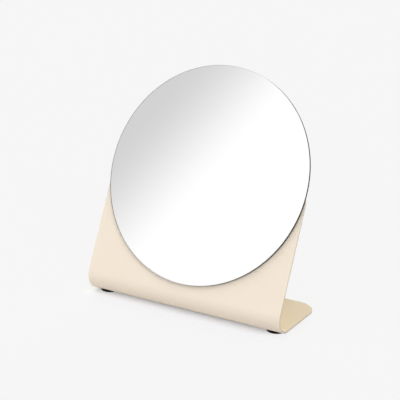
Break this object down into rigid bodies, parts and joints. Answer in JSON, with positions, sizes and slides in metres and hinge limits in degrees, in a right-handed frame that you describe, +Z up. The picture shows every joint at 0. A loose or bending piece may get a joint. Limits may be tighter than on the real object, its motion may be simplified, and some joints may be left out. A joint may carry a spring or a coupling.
{
  "type": "table mirror",
  "caption": "Round frameless table mirror taped to a leaning, single-bend sheet-steel stand with rounded corners and low rubber feet.",
  "frame": {"origin": "on the table, under the middle of the whole object's box", "axes": "+Z up; the mirror faces -Y and leans back towards +Y; X runs along the bend"},
  "size_m": [0.2, 0.0908, 0.2102],
  "materials": {
    "powder_coat": "satin",
    "silvered_glass": "polished",
    "backing_film": "satin",
    "foam_tape": "matte",
    "rubber": "matte"
  },
  "bodies": {
    "root": {"stand": "powder_coat", "mirror_glass": "silvered_glass", "backing_film": "backing_film", "mounting_tape_1": "foam_tape", "mounting_tape_2": "foam_tape", "mounting_tape_3": "foam_tape", "mounting_tape_4": "foam_tape", "foot_front_left": "rubber", "foot_front_right": "rubber", "foot_back_left": "rubber", "foot_back_right": "rubber"}
  },
  "joints": []
}
